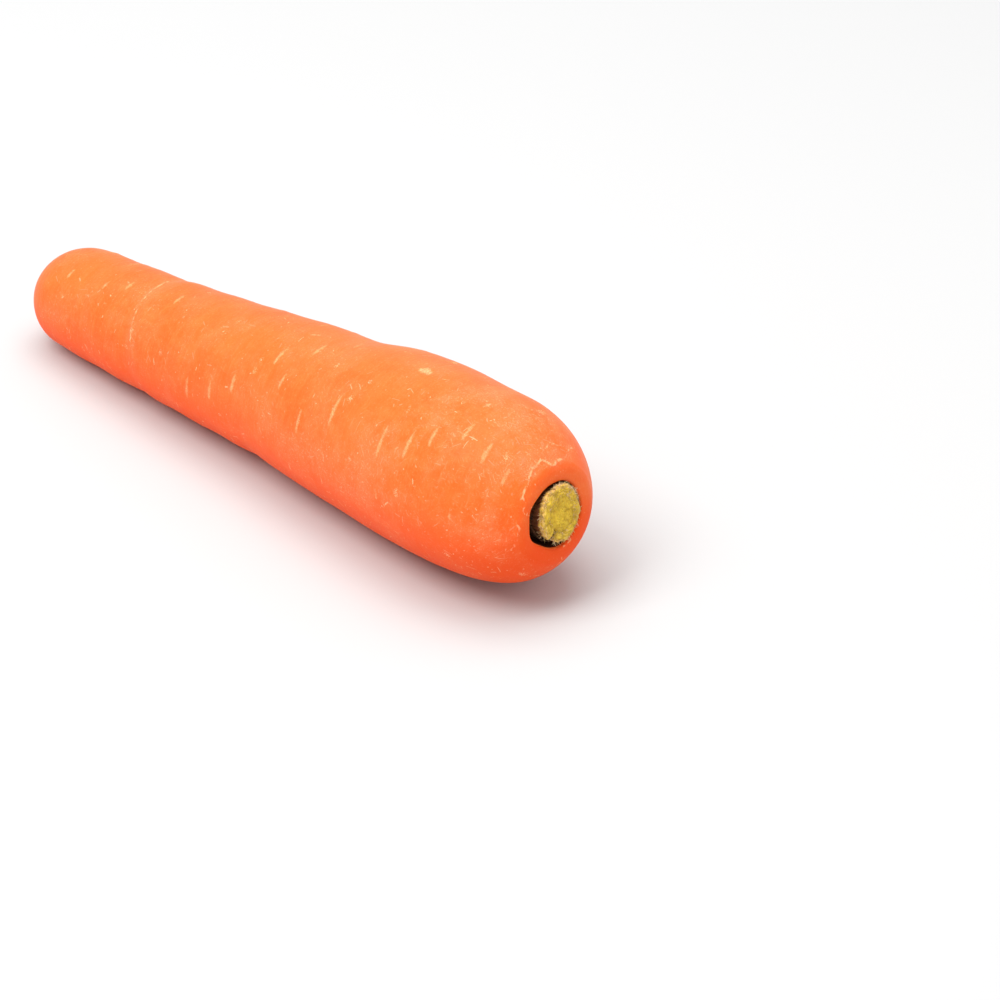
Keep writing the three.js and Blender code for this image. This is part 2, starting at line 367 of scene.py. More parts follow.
def body_relief(tree, size, place, radius, around):
    """How far the skin stands out from an evenly turned root."""
    uneven = size["Uneven section"] * (around * 2.0 + place / 45.0).cosine()
    uneven = uneven + 0.1 * (around * 5.0 + place / 70.0).cosine()
    girdle_at = place - size["Girdle place"]
    girdle = size["Girdle depth"] * (girdle_at + 3.0 * around.sine()).bump(3.0)
    waves = (place * math.tau / size["Wrinkle spacing"] + 1.5 * around.sine()).sine()
    waves = waves * size["Wrinkle height"] * (girdle_at - 1.0).bump(45.0)
    top_dent, low_dent = dent(place, around, TOP_DENT), dent(place, around, LOW_DENT)
    dents = size["Top dent"] * top_dent + size["Low dent"] * low_dent

    side, rise = radius * around.cosine(), radius * around.sine()
    swelling = noise_field(tree, triple(tree, place, side, rise), 0.09, size["Seed"]) - 0.5
    ringed = triple(tree, place * 1.1, side * 0.12, rise * 0.12)
    creases = noise_field(tree, ringed, 1.0, size["Seed"] + 3.0, 3.0) - 0.5
    fine = swelling * 2.0 * size["Swelling"] + creases * 2.0 * size["Fine creases"]
    return uneven + waves + fine - girdle - dents


def wider_hollow(size, place, radius, around, inside):
    """How much further out the hollow's wall stands at its wider, squared side."""
    aside = around.turned_from(size["Wider towards"] * math.radians(1))
    wider = aside.bump(0.6) * size["Wider hollow"]
    wider = wider - aside.bump(0.85) * (aside * 6.5).cosine() * size["Squared side"]
    wider = wider * inside * place.between(184.0, 186.0)
    return wider * radius.between(RIM_RADIUS, COLLAR_RADIUS, 1.0, 0.0)


def turned_root_tree(material):
    """Turns the outline round the root's axis, and gives each point its place."""
    tree, outline, size = new_growth("turned_root", ROOT_SIZES)
    circle = add_node(
        tree, "GeometryNodeCurvePrimitiveCircle", {"Resolution": size["Segments"]}
    )
    rail = with_number(tree, circle.outputs[0], "around", share_along(tree) * math.tau)
    section = add_node(tree, "GeometryNodeMeshToCurve", {"Mesh": outline})
    skin = add_node(
        tree, "GeometryNodeCurveToMesh", {"Curve": rail, "Profile Curve": section.outputs[0]}
    )
    place, radius = attribute(tree, "place"), attribute(tree, "spread")
    around, sway = attribute(tree, "around"), attribute(tree, "sway")

    outer = radius.between(RIM_RADIUS + 0.25, RIM_RADIUS + 0.35)
    outer = outer.math("MAXIMUM", place.between(170.0, 171.0, 1.0, 0.0))
    calm = 1.0 - 0.7 * place.between(183.0, 190.0)
    calm = calm * place.between(0.0, float(TIP_CAP))
    lift = body_relief(tree, size, place, radius, around) * calm * outer
    inside = (radius / FLOOR_RADIUS).math("MINIMUM", 1.0)
    corners = 0.12 * (around * 5.0 + 1.0).cosine() * inside * (1.0 - outer)
    full = radius + lift + corners + wider_hollow(size, place, radius, around, inside)

    side, rise = full * around.cosine(), full * around.sine()
    tilt = place.between(TILT_FROM, TILT_TO)
    drop = place.between(DROP_FROM, DROP_TO) * size["Face drop"]
    x = place - tilt * (size["Face tilt up"] * rise + size["Face tilt side"] * side)
    z = size["Rest height"] + size["Rest slope"] * place + rise - drop
    position = triple(tree, x, sway + side, z.math("MAXIMUM", 0.0))
    closed = merged(tree, moved_to(tree, skin.outputs[0], position), 0.0004)
    smooth = add_node(tree, "GeometryNodeSetShadeSmooth", {"Geometry": closed})
    finish_growth(tree, smooth.outputs[0], material)
    return tree


def outline_mesh():
    """The root's outline as a line of edges, with what the tree reads at each point."""
    outline = root_outline()
    mesh = bpy.data.meshes.new("root_outline")
    points = [(radius, place, 0) for radius, place in outline]
    mesh.from_pydata(points, [(i, i + 1) for i in range(len(points) - 1)], [])
    kept = {
        "spread": outline[:, 0],
        "place": outline[:, 1],
        "sway": [along(SWAY, x) for x in outline[:, 1]],
        "meridian": run_lengths(outline),
    }
    for name, values in kept.items():
        mesh.attributes.new(name, "FLOAT", "POINT").data.foreach_set("value", values)
    return mesh


def material_tree(name):
    """A new material with its tree, its shader and its Object coordinates."""
    material = bpy.data.materials.new(name)
    material.use_nodes = True
    tree = material.node_tree
    shader = tree.nodes["Principled BSDF"]
    position = tree.nodes.new("ShaderNodeTexCoord").outputs["Object"]
    return material, tree, shader, position


def mixed(tree, share, first, second):
    """A colour between two others."""
    node = add_node(tree, "ShaderNodeMix", data_type="RGBA")
    for socket, value in ((0, share), (6, first), (7, second)):  # its colour sockets
        feed(tree, value, node.inputs[socket])
    return node.outputs[2]


def stretched(tree, vector, lengths, turned=(0, 0, 0)):
    """Coordinates for a grain with these lengths, in metres, along its own turned axes."""
    node = add_node(
        tree,
        "ShaderNodeMapping",
        {"Vector": vector, "Scale": lengths, "Rotation": tuple(map(math.radians, turned))},
        vector_type="TEXTURE",
    )
    return node.outputs[0]


def roughen(tree, shader, strength, distance, height):
    """Gives a material a fine relief."""
    feeds = {"Strength": strength, "Distance": distance, "Height": height}
    relief = add_node(tree, "ShaderNodeBump", feeds)
    feed(tree, relief.outputs[0], shader.inputs["Normal"])


def set_inputs(shader, **values):
    """Sets a shader's own inputs, named with _ for a space."""
    for name, value in values.items():
        shader.inputs[name.replace("_", " ")].default_value = value


def mesh_number(tree, name):
    """A number kept at the points of the mesh that a material is on."""
    node = add_node(tree, "ShaderNodeAttribute", attribute_name=name)
    return Field(tree, node.outputs["Fac"])


SKIN_ORANGE = (0.90, 0.130, 0.015, 1)
SKIN_DEEP = (0.89, 0.110, 0.010, 1)
SKIN_LIGHT = (0.91, 0.164, 0.032, 1)
# Painted shade: the redder, darker colour of the skin's lower side.
SKIN_PAINTED_UNDERSIDE_SHADE = (0.90, 0.070, 0.002, 1)
SKIN_CORK = (0.93, 0.31, 0.125, 1)
SKIN_SPECK = (0.96, 0.44, 0.220, 1)
# The pale of worn, dried skin, also used as a painted sheen on the lit top of the shoulder.
SKIN_HAZE_AND_SHEEN = (0.93, 0.200, 0.072, 1)
# Painted shade: the nearly black colour deep in the crown's hollow.
HOLLOW_PAINTED_SHADE = (0.055, 0.014, 0.005, 1)
RUBBED_GRAIN = [
    ((0.0045, 0.0005, 0.0005), (0, -60, 90)),
    ((0.0035, 0.0004, 0.0004), (0, -37, 27)),
    ((0.0030, 0.0004, 0.0004), (0, -37, 153)),
    ((0.0026, 0.0004, 0.0004), (0, 10, 12)),
]


def make_skin_material():
    material, tree, shader, position = material_tree("washed_carrot_skin")
    broad = noise_field(tree, position, 38.0, 1.0, 3.0)
    mottle = noise_field(tree, position, 260.0, 2.0, 4.0, 0.65)
    ringed = stretched(tree, position, (0.0007, 0.006, 0.006))
    across = noise_field(tree, ringed, 1.0, 5.0, 3.0)
    grain = noise_field(tree, position, 1900.0, 3.0, 2.0)
    crumbs = noise_field(tree, position, 4200.0, 8.0, 2.0, 0.6)
    wear_and_sheen = mesh_number(tree, "wear_and_sheen")

    colour = mixed(tree, broad.between(0.36, 0.66), SKIN_DEEP, SKIN_ORANGE)
    light = mottle.between(0.4, 0.7) * 0.45 + across.between(0.45, 0.75) * 0.4
    light = light + grain.between(0.45, 0.7) * 0.4
    colour = mixed(tree, light, colour, SKIN_LIGHT)
    # Painted shade and painted red bounce light: by how far it faces down, the lower side turns
    # redder and darker.
    under = mesh_number(tree, "under")
    colour = mixed(tree, under * 0.9, colour, SKIN_PAINTED_UNDERSIDE_SHADE)
    worn = noise_field(tree, position, 80.0, 7.0, 5.0, 0.7).between(0.42, 0.66)
    # The pale haze is worn, dried skin, and on the lit top of the shoulder it is a painted
    # sheen.
    haze_and_sheen = wear_and_sheen * worn * crumbs.between(0.35, 0.6, 0.4, 1.0) * (1.0 - 0.85 * under)
    colour = mixed(tree, haze_and_sheen * 0.8, colour, SKIN_HAZE_AND_SHEEN)
    rubbed = 0.0
    for number, (lengths, turned) in enumerate(RUBBED_GRAIN):
        grained = stretched(tree, position, lengths, turned)
        streak = noise_field(tree, grained, 1.0, 20.0 + number, 2.0, 0.6).between(0.60, 0.74)
        rubbed = streak.math("MAXIMUM", rubbed)
    rubbed = rubbed * wear_and_sheen * worn.between(0.0, 1.0, 0.35, 1.0) * (1.0 - 0.4 * under)
    colour = mixed(tree, rubbed * 0.42, colour, SKIN_SPECK)
    pores = grain.between(0.66, 0.76) * (0.15 + 0.3 * worn)
    colour = mixed(tree, pores, colour, SKIN_SPECK)

    ragged = (mottle - 0.5) * 0.6 + (grain - 0.5) * 1.1
    cork = mesh_number(tree, "cork")
    scars = (cork + ragged * 0.6).between(0.14, 0.85)
    colour = mixed(tree, scars * crumbs.between(0.36, 0.6, 0.5, 1.0), colour, SKIN_CORK)
    freckles = (mesh_number(tree, "freckle") + (crumbs - 0.5) * 3.4).between(0.85, 1.15)
    bright = (cork + (crumbs - 0.5) * 4.0).between(1.0, 1.4) * 0.6
    freckles = freckles.math("MAXIMUM", bright)
    colour = mixed(tree, freckles * 0.85, colour, SKIN_SPECK)
    lines = (mesh_number(tree, "crease") + ragged * 0.6).between(0.42, 0.8)
    colour = mixed(tree, lines * 0.8, colour, SKIN_SPECK)
    # Deeper than the rim, the hollow's wall is painted nearly black as painted shade.
    inside = (mesh_number(tree, "hollow") + ragged * 0.25).between(0.3, 0.6)
    colour = mixed(tree, inside, colour, HOLLOW_PAINTED_SHADE)
    feed(tree, colour, shader.inputs["Base Color"])

    gloss = 0.38 + 0.16 * mottle + 0.12 * haze_and_sheen + 0.25 * scars + 0.2 * lines
    feed(tree, gloss + inside * 0.4 + under * 0.15, shader.inputs["Roughness"])
    height = grain * 0.35 + across * 0.5 + mottle * 0.4 + cork * crumbs * 0.8
    roughen(tree, shader, 0.6, 0.00018, height)
    set_inputs(
        shader,
        Subsurface_Weight=0.18,
        Subsurface_Radius=(1.0, 0.2, 0.04),
        Subsurface_Scale=0.003,
        Specular_IOR_Level=0.22,
        Specular_Tint=(1, 0.82, 0.62, 1),
        Coat_Weight=0.03,
        Coat_Roughness=0.35,
    )
    return material


# Marks in the skin, as place, degrees round from +Y, and length across the root.
SIDE_ROOT_SCARS = [
    (18, 124, 3.2, 0.75), (32, 120, 2.8, 0.7), (39, 110, 3.4, 0.8), (57, 104, 4, 0.8),
    (75, 176, 6, 0.85), (84, 169, 4.8, 0.95), (92, 155, 5, 1), (103, 122, 5.4, 1.1),
    (109, 138, 4.4, 0.9), (112, 105, 5, 0.9), (119, 87, 3.4, 0.5), (120, 158, 6.2, 0.95),
    (131, 142, 8.4, 1.1), (151, 146, 8.6, 1), (160, 140, 7.8, 1.15), (166, 130, 5.4, 1),
    (174, 118, 5.4, 0.9), (181, 123, 5.6, 1.2), (187, 131, 5, 0.6), (153, 180, 2.4, 0.5),
    (177, 173, 2.2, 0.5),
]
PALE_SPOTS = [(146, 91.5, 2.3, 2.6), (147.6, 92, 1.7, 1.6), (144.7, 92.5, 1.3, 1.5)]
FRECKLES = [
    (154, 123, 2.2, 2.0), (136, 117, 2.6, 2.2), (134, 132, 3.2, 3.0), (166, 102, 2.0, 1.8),
    (172, 94, 3.6, 2.6), (122, 114, 2.4, 2.2), (98, 131, 2.6, 2.4), (98, 140, 3.0, 2.2),
    (81, 106, 2.0, 1.6), (63, 158, 2.2, 1.8), (50, 150, 2.6, 2.2), (49, 168, 2.2, 2.0),
    (20, 150, 2.0, 1.8), (106, 168, 2.0, 1.8), (142, 166, 2.4, 2.0), (188, 236, 5.0, 3.0),
    (174, 205, 4.0, 3.0), (179, 64, 5.0, 4.0), (185, 118, 4.0, 3.0), (160, 172, 4.0, 3.0),
]
GIRDLE_CREASE = [(46, 84), (46.4, 104), (47, 118), (48, 132), (49, 144), (51, 164)]
COLLAR_CREASES = [
    [(191.2, 141), (190.9, 133), (191, 127), (190.4, 118), (190, 110), (190.1, 104),
     (189.7, 97), (190.4, 93), (191.2, 89), (191.4, 85), (190.9, 80), (190.8, 72)],
    [(192, 160), (191.6, 152), (191.9, 146), (191.2, 141)],
    [(188.3, 84), (187.6, 78), (188.4, 70), (188.2, 64), (189.2, 59), (188.3, 52),
     (188.6, 44)],
    [(191.2, 168), (191.6, 176), (191.2, 184)],
]
KNICKS = [
    [(189, 268), (191.5, 276), (193.5, 283)],
    [(193, 289), (194, 296)],
    [(95, 224), (95.6, 231)],
    [(18, 210), (18.4, 218)],
    [(178, 71), (180.5, 69), (182, 66)],
    [(176, 76), (178.5, 73)],
]
SCAR_DEPTH = 0.16
SCAR_SPREAD = 0.62  # half a scar as a share of its length, with its faded ends
SPOT_HEIGHT = 0.06
FAR_AWAY = 9.0


def seeded(seed):
    """Numbers from 0 to 1, the same in every run."""
    state = seed
    while True:
        state = (state * 1664525 + 1013904223) % 4294967296
        yield state / 4294967296


def hidden_side_scars():
    """The scars on the side that faces away, scattered as they are in the solid."""
    chance = seeded(7)
    count = 24
    for i in range(count):
        place = 16 + 164 * (i + next(chance)) / count
        around = 290 + 140 * next(chance)
        length = 3 + 5.5 * next(chance)
        yield place, around, length, 0.4 + 0.35 * next(chance)


def hidden_side_freckles():
    """Groups of pale freckles on the side that faces away."""
    chance = seeded(11)
    for _ in range(26):
        yield 10 + 180 * next(chance), 210 + 230 * next(chance), 2 + 2 * next(chance), 2.4


def read_points(mesh):
    points = np.empty(len(mesh.vertices) * 3)
    mesh.vertices.foreach_get("co", points)
    return points.reshape(-1, 3)


def read_number(mesh, name):
    values = np.empty(len(mesh.vertices))
    mesh.attributes[name].data.foreach_get("value", values)
    return values


def keep_number(mesh, name, values):
    """Keeps a number at each point, for a material to read."""
    layer = mesh.attributes.new(name, "FLOAT", "POINT")
    layer.data.foreach_set("value", np.asarray(values, np.float32))


def sink_scars(near, cork, lift):
    """Sinks each scar a little, as a spindle of cork with one end that fades."""
    chance = seeded(31)
    for at, degrees, length, strength in [*SIDE_ROOT_SCARS, *hidden_side_scars()]:
        down, across = near(at, degrees)
        share = np.clip(across / (length * SCAR_SPREAD), -1.4, 1.4)
        lean = 0.25 * (next(chance) - 0.5)
        body = 1 - share**2
        width = (0.5 + 0.32 * strength) * (0.4 + 0.6 * np.clip(body, 0, 1))
        spindle = np.minimum(body * 1.3, 1.15 - np.abs(down - lean * share) / width)
        fade = 0.84 + 0.3 * np.clip(share, -1, 1) + 0.14 * np.sin(share * 9 + at)
        spindle = np.clip(spindle, 0, 1) * fade
        np.maximum(cork, spindle * (0.62 + 0.38 * min(strength, 1)), out=cork)
        sunk = bump(down - lean * share, width) * np.clip(body, 0, 1)
        lift -= SCAR_DEPTH * strength * sunk


def spread_freckles(near, cork, freckle, lift):
    """Raises the pale spot a little, and spreads the groups of freckles."""
    for at, degrees, length, width in PALE_SPOTS:
        down, across = near(at, degrees)
        reach = np.hypot(down / width, (across - 0.2 * down) / length) * 2
        np.maximum(cork, np.clip(1.6 - reach, 0, 0.8), out=cork)
        lift += SPOT_HEIGHT * bump(reach, 0.9)
        np.maximum(freckle, np.clip(1.7 - reach, 0, 1.0), out=freckle)
    for at, degrees, length, width in [*FRECKLES, *hidden_side_freckles()]:
        down, across = near(at, degrees)
        reach = np.hypot(down / width, across / length) * 2
        np.maximum(freckle, np.clip(1.2 - reach, 0, 1), out=freckle)


def distance_to_line(near, line, points):
    """How far each point of the skin is from a line of places and degrees in it."""
    line = np.array(line, float)
    steps = run_lengths(np.column_stack([line[:, 0], np.radians(line[:, 1]) * 15]))
    stations = np.linspace(0, steps[-1], int(steps[-1] / 0.3) + 2)
    nearest = np.full(points, FAR_AWAY)
    for at, degrees in zip(
        np.interp(stations, steps, line[:, 0]), np.interp(stations, steps, line[:, 1])
    ):
        nearest = np.minimum(nearest, np.hypot(*near(at, degrees)))
    return nearest


def fold_creases(near, around, outside, lift):
    """Sinks the fine creases, and gives how pale each point is in and beside them."""
    crease = np.zeros(len(lift))
    beside = np.zeros(len(lift))
    lines = [(GIRDLE_CREASE, 0.46, 0.83, 0.1), (COLLAR_CREASES[0], 0.4, 1.0, 0.2)]
    lines += [(line, 0.4, 0.8, 0.1) for line in COLLAR_CREASES[1:]]
    lines += [(line, 0.4, 0.75, 0.1) for line in KNICKS]
    broken = 0.93 + 0.2 * np.sin(around * 31 + 2 * np.sin(around * 13))
    for line, width, strength, depth in lines:
        nearest = distance_to_line(near, line, len(lift))
        nearest[~outside] = FAR_AWAY
        worn_line = np.clip(1 - nearest / width / 1.6, 0, 1) * strength * broken
        crease = np.maximum(crease, worn_line)
        beside = np.maximum(beside, bump(nearest, 1.4) * strength)
        lift -= depth * bump(nearest, width)
    return crease, beside


def wear_and_sheen_of(place, radius, around, height, beside):
    """Wear from washing and hands, most at the shoulder and low down, plus painted sheen on the
    lit top.
    """
    near_shoulder = smoothstep(place, 110, 185) * smoothstep(radius, 11.8, 13.5)
    low_side = smoothstep(-np.sin(around), -0.6, 0.1) * smoothstep(-np.sin(around), 0.9, 0.3)
    # Painted sheen: the lit top of the shoulder is made paler, as its highlight.
    lit_shoulder = smoothstep(place, 130, 178) * bump(turn(around, math.radians(122)), 0.7)
    wear_and_sheen = 0.45 + 0.45 * near_shoulder + 0.35 * low_side + 0.4 * lit_shoulder
    wear_and_sheen = np.clip(wear_and_sheen, 0, 1.15)
    wear_and_sheen *= smoothstep(radius, 12.0, 13.0) * 0.85 + 0.15
    wear_and_sheen = np.clip(wear_and_sheen + 0.5 * beside, 0, 1.2)
    return wear_and_sheen * smoothstep(height, 0, 1.0 * MM)


def mark_skin(mesh):
    """Sinks the scars and creases into the skin, and keeps where they are."""
    points = read_points(mesh)
    normals = np.empty(points.size)
    mesh.vertex_normals.foreach_get("vector", normals)
    normals = normals.reshape(-1, 3)
    place, radius = read_number(mesh, "place"), read_number(mesh, "spread")
    around, meridian = read_number(mesh, "around"), read_number(mesh, "meridian")
    outside = (radius > RIM_RADIUS + 0.3) | (place < 170)
    order = np.argsort(place[outside])
    places, meridians = place[outside][order], meridian[outside][order]

    def near(at, degrees):
        """Distances along and across the root from a point of its skin."""
        start = np.interp(at, places, meridians)
        return meridian - start, turn(around, math.radians(degrees)) * radius

    cork, freckle, lift = np.zeros((3, len(points)))
    sink_scars(near, cork, lift)
    spread_freckles(near, cork, freckle, lift)
    crease, beside = fold_creases(near, around, outside, lift)
    lift[~outside] = 0
    lift *= smoothstep(place, 1, 5) * (points[:, 2] > 0.3 * MM)
    points += normals * (lift * MM)[:, None]
    points[:, 2] = np.maximum(points[:, 2], 0)
    mesh.vertices.foreach_set("co", points.ravel())

    kept = {
        "cork": cork * outside,
        "freckle": freckle * outside,
        "crease": crease,
        # hollow: how far below the rim a point lies, for the painted shade deep in the crown's
        # hollow.
        "hollow": ~outside * smoothstep(SHOULDER_END - place, 3.2, 4.2),
        # The wear mask also carries the painted sheen on the shoulder's lit top.
        "wear_and_sheen": wear_and_sheen_of(place, radius, around, points[:, 2], beside),
        # under: how far each point faces down, for the painted shade on the skin's lower side.
        "under": smoothstep(-np.sin(around), -0.35, 0.75) * outside,
    }
    for name, values in kept.items():
        keep_number(mesh, name, values)


def centred_on(mesh, low, high):
    """The move that puts the middle of a mesh over the middle of a solid's box."""
    points = read_points(mesh)
    middle = (points.min(axis=0) + points.max(axis=0)) / 2
    return np.array([(low[0] + high[0]) / 2 - middle[0], (low[1] + high[1]) / 2 - middle[1], 0])


def move_mesh(mesh, move):
    mesh.transform(Matrix.Translation(Vector(move)))


skin = make_skin_material()
taproot = grow("taproot_skin", outline_mesh(), turned_root_tree(skin), ROOT_SIZES)
root_low, root_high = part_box("taproot")
TO_FRAME = centred_on(taproot.data, root_low, root_high)
mark_skin(taproot.data)
move_mesh(taproot.data, TO_FRAME)
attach(taproot, "root")
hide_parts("taproot")

# The scuffs. Specks and short scratches where washing and handling rubbed the thin skin:
# it lifted a little and dried pale. They are part of the skin, lie flat on it and are
# closest together round the shoulder and along the sides.
SCUFF_SIZES = {
    "Scuffs per square centimetre": 7.5,
    "Longest": 2.6,
    "Width": 0.4,
    "Height": 0.03,
    "Bend": 0.5,
    "Seed": 8,
}


def random_between(tree, low, high, seed, turn_id=0):
    """A random number for each point, within limits."""
    node = add_node(
        tree, "FunctionNodeRandomValue", {"Seed": seed + turn_id}, data_type="FLOAT"
    )
    feed(tree, low, node.inputs[2])  # its sockets for single numbers
    feed(tree, high, node.inputs[3])
    return Field(tree, node.outputs[1])


def sliver_mesh(tree, bend):
    """A flat, slightly bent sliver of unit size, with how far each point stands up."""
    line = add_node(
        tree, "GeometryNodeCurvePrimitiveLine", {"Start": (-0.5, 0, 0), "End": (0.5, 0, 0)}
    )
    steps = add_node(tree, "GeometryNodeResampleCurve", {"Curve": line.outputs[0], "Count": 6})
    factor = share_along(tree)
    middle = factor * 2.0 - 1.0
    full = 1.0 - middle * middle
    bow = triple(tree, factor - 0.5, middle * middle * bend, 0.0)
    ring = add_node(
        tree, "GeometryNodeCurvePrimitiveCircle", {"Resolution": 4, "Radius": 0.5}
    )
    tube = add_node(
        tree,
        "GeometryNodeCurveToMesh",
        {"Curve": moved_to(tree, steps.outputs[0], bow), "Profile Curve": ring.outputs[0],
         "Scale": full},
    )
    at = tree.nodes.new("GeometryNodeInputPosition").outputs[0]
    split = add_node(tree, "ShaderNodeSeparateXYZ", {"Vector": at})
    return with_number(tree, merged(tree, tube.outputs[0], 1e-4), "rise", split.outputs[2])


def laid_on(tree, skin_mesh, rise):
    """The nearest place on the skin to each point, plus the point's own rise off it."""
    beneath = add_node(tree, "GeometryNodeProximity", {"Geometry": skin_mesh})
    outward = add_node(
        tree, "GeometryNodeSampleNearestSurface", {"Mesh": skin_mesh},
        data_type="FLOAT_VECTOR",
    )
    normal = tree.nodes.new("GeometryNodeInputNormal")
    feed(tree, normal.outputs[0], outward.inputs["Value"])
    lifted = add_node(tree, "ShaderNodeVectorMath", operation="SCALE")
    feed(tree, outward.outputs["Value"], lifted.inputs[0])
    feed(tree, rise, lifted.inputs["Scale"])
    laid = tree.nodes.new("ShaderNodeVectorMath")
    feed(tree, beneath.outputs["Position"], laid.inputs[0])
    feed(tree, lifted.outputs[0], laid.inputs[1])
    return laid.outputs[0]


def scuff_tree(material):
    """Scatters flat slivers over the skin, bends each to lie on it, and sinks half of it."""
    tree, skin_mesh, size = new_growth("scuffed_skin", SCUFF_SIZES)
    seed = size["Seed"]
    # Scuffs are densest where the wear mask is high, which includes the painted sheen on the
    # shoulder's lit top.
    often = attribute(tree, "wear_and_sheen") * (1.0 - attribute(tree, "hollow"))
    spots = add_node(
        tree,
        "GeometryNodeDistributePointsOnFaces",
        {"Mesh": skin_mesh, "Seed": seed,
         "Density": often * size["Scuffs per square centimetre"] * 1e4},
    )
    paleness = random_between(tree, 0.0, 1.0, seed, 1).math("POWER", 2.6)
    any_way = random_between(tree, 0.0, math.tau, seed, 2)
    turned = add_node(
        tree,
        "FunctionNodeRotateRotation",
        {"Rotation": spots.outputs["Rotation"], "Rotate By": triple(tree, 0.0, 0.0, any_way)},
        rotation_space="LOCAL",
    )
    long = 0.16 + 0.84 * random_between(tree, 0.0, 1.0, seed, 3).math("POWER", 4.0)
    wide = random_between(tree, 0.5, 1.1, seed, 4)
    set_down = add_node(
        tree,
        "GeometryNodeInstanceOnPoints",
        {
            "Points": with_number(tree, spots.outputs["Points"], "paleness", paleness),
            "Instance": sliver_mesh(tree, size["Bend"]),
            "Rotation": turned.outputs[0],
            "Scale": triple(tree, size["Longest"] * long * MM, size["Width"] * wide * MM, MM),
        },
    )
    real = add_node(
        tree, "GeometryNodeRealizeInstances", {"Geometry": set_down.outputs[0]}
    )
    rise = attribute(tree, "rise") * size["Height"] * MM
    on_skin = moved_to(tree, real.outputs[0], laid_on(tree, skin_mesh, rise))
    flat = add_node(
        tree, "GeometryNodeSetShadeSmooth", {"Geometry": on_skin, "Shade Smooth": False}
    )
    finish_growth(tree, flat.outputs[0], material, 1.0)
    return tree


def make_scuff_material():
    material, tree, shader, position = material_tree("dried_skin_scuff")
    crumbs = noise_field(tree, position, 3000.0, 6.0, 2.0, 0.6)
    pale = mesh_number(tree, "paleness") * crumbs.between(0.35, 0.6, 0.2, 0.9)
    feed(tree, mixed(tree, pale, SKIN_HAZE_AND_SHEEN, SKIN_SPECK), shader.inputs["Base Color"])
    feed(tree, 0.5 + 0.3 * crumbs, shader.inputs["Roughness"])
    set_inputs(shader, Specular_IOR_Level=0.26)
    return material


scuffs = grow("skin_scuffs", taproot.data.copy(), scuff_tree(make_scuff_material()), SCUFF_SIZES)
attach(scuffs, "root")

# The stub of leaf stalks. Crescent-shaped stalk bases of green stringy tissue that grow out
# of the crown's floor and together at the foot. They were cut through about 2 mm above the
# rim with one stroke, so the face is rough, chopped and frayed round its edge.
STUB_FOOT = SHOULDER_END - FLOOR_DEPTH + 0.3
STUB_HEIGHT = 7.4
STUB_RADIUS = 6.1
OUTER_STALKS = 5
INNER_STALKS = 3
FIRST_STALK = 225
DEEP_CLEFT = 233
INNER_REACH = 3.9  # where the inner stalks meet the outer ones
FACE, FLANK, UNDER = 0, 1, 2  # the parts of the stub's surface
FACE_ROWS = 50


def beside_axis(x, side, lift):
    """Points beside the root's axis, in millimetres, from how far they are along it."""
    tilt = smoothstep(x, TILT_FROM, TILT_TO)
    drop = ROOT_SIZES["Face drop"] * smoothstep(x, DROP_FROM, DROP_TO)
    sway = np.interp(x, *zip(*[(at, along(SWAY, at)) for at in range(180, 196)]))
    lean_back = ROOT_SIZES["Face tilt up"] * lift + ROOT_SIZES["Face tilt side"] * side
    z = ROOT_SIZES["Rest height"] + ROOT_SIZES["Rest slope"] * x + lift - drop
    return np.stack([x - tilt * lean_back, sway + side, z], axis=-1)


def in_stub(height, radius, angle):
    """A point of the stub, which spreads up and down above the cup and leans upwards."""
    high = 1 + 0.17 * smoothstep(height, 3.4, 6.4)
    side = radius * np.cos(angle) + 0.35 * smoothstep(height, 2.5, STUB_HEIGHT)
    lift = radius * high * np.sin(angle) + 0.7 * smoothstep(height, 2.5, STUB_HEIGHT)
    return beside_axis(STUB_FOOT + height, side, lift)


def lattice_faces(rows, columns):
    """Faces between rows of points that close round, each row after the last."""
    faces = []
    for row in range(rows - 1):
        for column in range(columns):
            beside = (column + 1) % columns
            faces.append(
                (row * columns + column, row * columns + beside,
                 (row + 1) * columns + beside, (row + 1) * columns + column)
            )
    return faces


def roughness_of(points, scale, octaves, offset=0.0):
    shift = Vector((offset, offset * 0.7, offset * 1.3))
    return np.array([
        noise.fractal(Vector(point) * scale + shift, 0.9, 2.0, octaves) for point in points
    ])


def cells_of(first, second, offset=0.0):
    return np.array([
        noise.cell(Vector((a + offset, b - offset, offset))) for a, b in zip(first, second)
    ])


def stub_rows(angle):
    """Rows of points over the cut face, down the flank and under the foot."""
    rows = [(FACE, share) for share in np.linspace(0.012, 1, FACE_ROWS)]
    rows += [(FLANK, share) for share in np.linspace(0, 1, 44)[1:]]
    rows += [(UNDER, share) for share in np.linspace(1, 0.02, 8)[1:]]
    level = STUB_HEIGHT - 0.25
    lobes = 1 + 0.03 * np.cos(5 * angle + 0.8) + 0.02 * np.cos(11 * angle + 2)
    radius, height = [], []
    for part, share in rows:
        if part == FACE:
            radius.append(share * STUB_RADIUS * lobes)
            height.append(np.full(angle.size, level))
        elif part == FLANK:
            ribbed = STUB_RADIUS * (lobes + 0.02 * np.sin(31 * angle) * (1 - share))
            radius.append(ribbed * (1 - 0.03 * share))
            height.append(np.full(angle.size, level * (1 - share)))
        else:
            radius.append(share * STUB_RADIUS * 0.97 * lobes)
            height.append(np.zeros(angle.size))
    zone = np.repeat([part for part, _ in rows], angle.size)
    return np.concatenate(radius), np.concatenate(height), zone


